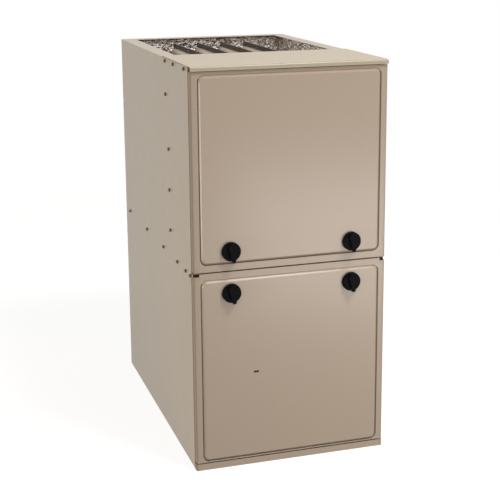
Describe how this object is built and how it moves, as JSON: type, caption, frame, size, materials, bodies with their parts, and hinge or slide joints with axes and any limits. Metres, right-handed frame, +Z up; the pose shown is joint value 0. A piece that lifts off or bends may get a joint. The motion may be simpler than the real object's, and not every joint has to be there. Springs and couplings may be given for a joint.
{
  "type": "forced air gas furnace",
  "caption": "Upflow forced air gas furnace: tan cabinet with two lift-off doors on quarter-turn knobs, heat exchanger above, blower below.",
  "frame": {"origin": "centre of the base, at floor level", "axes": "+Z up, -Y to the front with the doors, +X to the viewer's right when facing the doors"},
  "size_m": [0.4508, 0.7403, 0.9],
  "materials": {
    "casing_paint": "satin",
    "door_paint": "satin",
    "galvanised_steel": "satin",
    "aluminised_steel": "satin",
    "steel_bar": "polished",
    "foil_faced_insulation": "crinkled foil facing",
    "black_plastic": "matte",
    "white_plastic": "matte",
    "red_plastic": "gloss",
    "grey_plastic": "matte",
    "motor_paint": "satin",
    "transformer_steel": "satin",
    "black_iron": "matte",
    "brass": "satin",
    "cast_aluminium": "satin",
    "ceramic": "matte",
    "circuit_board": "satin",
    "rubber": "matte"
  },
  "bodies": {
    "casing": {"casing_wrap": "casing_paint", "base_pan": "casing_paint", "base_rail": "door_paint", "top_front_panel": "casing_paint", "centre_rail": "casing_paint", "blower_deck": "galvanised_steel", "vestibule_panel": "galvanised_steel", "heat_exchanger_cell_1": "aluminised_steel", "heat_exchanger_cell_2": "aluminised_steel", "heat_exchanger_cell_3": "aluminised_steel", "heat_exchanger_cell_4": "aluminised_steel", "foil_insulation_left": "foil_faced_insulation", "foil_insulation_right": "foil_faced_insulation", "foil_insulation_back": "foil_faced_insulation", "collector_box": "galvanised_steel", "inducer_housing": "motor_paint", "inducer_motor": "motor_paint", "vent_collar": "galvanised_steel", "burner_box": "galvanised_steel", "burner_1": "aluminised_steel", "burner_2": "aluminised_steel", "burner_3": "aluminised_steel", "burner_4": "aluminised_steel", "gas_manifold": "black_iron", "gas_orifices": "brass", "gas_valve": "cast_aluminium", "igniter": "ceramic", "flame_sensor": "ceramic", "rollout_switch_left": "black_plastic", "rollout_switch_right": "black_plastic", "limit_switch": "black_plastic", "pressure_switch": "grey_plastic", "pressure_hose": "rubber", "control_box": "galvanised_steel", "control_board": "circuit_board", "transformer": "transformer_steel", "junction_box": "galvanised_steel", "wiring_harness": "rubber", "door_switch": "black_plastic", "blower_side_left": "galvanised_steel", "blower_side_right": "galvanised_steel", "blower_scroll": "galvanised_steel", "blower_motor": "motor_paint", "blower_motor_arms": "galvanised_steel", "blower_capacitor": "galvanised_steel", "casing_screws": "casing_paint"},
    "upper_door": {"upper_door": "door_paint"},
    "lower_door": {"lower_door": "door_paint"},
    "knob_upper_left": {"knob_upper_left": "black_plastic"},
    "knob_upper_right": {"knob_upper_right": "black_plastic"},
    "knob_lower_left": {"knob_lower_left": "black_plastic"},
    "knob_lower_right": {"knob_lower_right": "black_plastic"},
    "blower_rotor": {"blower_shaft": "steel_bar", "blower_wheel": "aluminised_steel"},
    "inducer_rotor": {"inducer_shaft": "steel_bar", "inducer_wheel": "aluminised_steel"},
    "gas_valve_switch": {"gas_valve_switch": "black_plastic"},
    "door_switch_plunger": {"door_switch_plunger": "white_plastic"},
    "rollout_button_left": {"rollout_button_left": "red_plastic"},
    "rollout_button_right": {"rollout_button_right": "red_plastic"}
  },
  "joints": [
    {"name": "upper_door_slide", "type": "slide", "parent": "casing", "child": "upper_door", "axis": [0, -1, 0], "range_m": [0, 0.25]},
    {"name": "lower_door_slide", "type": "slide", "parent": "casing", "child": "lower_door", "axis": [0, -1, 0], "range_m": [0, 0.3]},
    {"name": "knob_upper_left_turn", "type": "hinge", "parent": "upper_door", "child": "knob_upper_left", "pos_m": [-0.139, -0.352, 0.5005], "axis": [0, 1, 0], "range_deg": [0, 90]},
    {"name": "knob_upper_right_turn", "type": "hinge", "parent": "upper_door", "child": "knob_upper_right", "pos_m": [0.139, -0.352, 0.5005], "axis": [0, 1, 0], "range_deg": [0, 90]},
    {"name": "knob_lower_left_turn", "type": "hinge", "parent": "lower_door", "child": "knob_lower_left", "pos_m": [-0.139, -0.352, 0.4075], "axis": [0, 1, 0], "range_deg": [0, 90]},
    {"name": "knob_lower_right_turn", "type": "hinge", "parent": "lower_door", "child": "knob_lower_right", "pos_m": [0.139, -0.352, 0.4075], "axis": [0, 1, 0], "range_deg": [0, 90]},
    {"name": "blower_spin", "type": "hinge", "parent": "casing", "child": "blower_rotor", "pos_m": [0, 0.078, 0.215], "axis": [1, 0, 0], "continuous": true},
    {"name": "inducer_spin", "type": "hinge", "parent": "casing", "child": "inducer_rotor", "pos_m": [-0.03, -0.252, 0.79], "axis": [0, 1, 0], "continuous": true},
    {"name": "gas_valve_switch_turn", "type": "hinge", "parent": "casing", "child": "gas_valve_switch", "pos_m": [0.13295, -0.318, 0.627], "axis": [0, 1, 0], "range_deg": [0, 90]},
    {"name": "door_switch_press", "type": "slide", "parent": "casing", "child": "door_switch_plunger", "axis": [0, -1, 0], "range_m": [0, 0.004]},
    {"name": "rollout_button_left_press", "type": "slide", "parent": "casing", "child": "rollout_button_left", "axis": [1, 0, 0], "range_m": [0, 0.0015], "stiffness_N_per_m": 400, "springref_m": -0.0005},
    {"name": "rollout_button_right_press", "type": "slide", "parent": "casing", "child": "rollout_button_right", "axis": [-1, 0, 0], "range_m": [0, 0.0015], "stiffness_N_per_m": 400, "springref_m": -0.0005}
  ],
  "couplings": [
    {"joint": "door_switch_press", "follows": "lower_door_slide", "ratio": 0.013333}
  ]
}
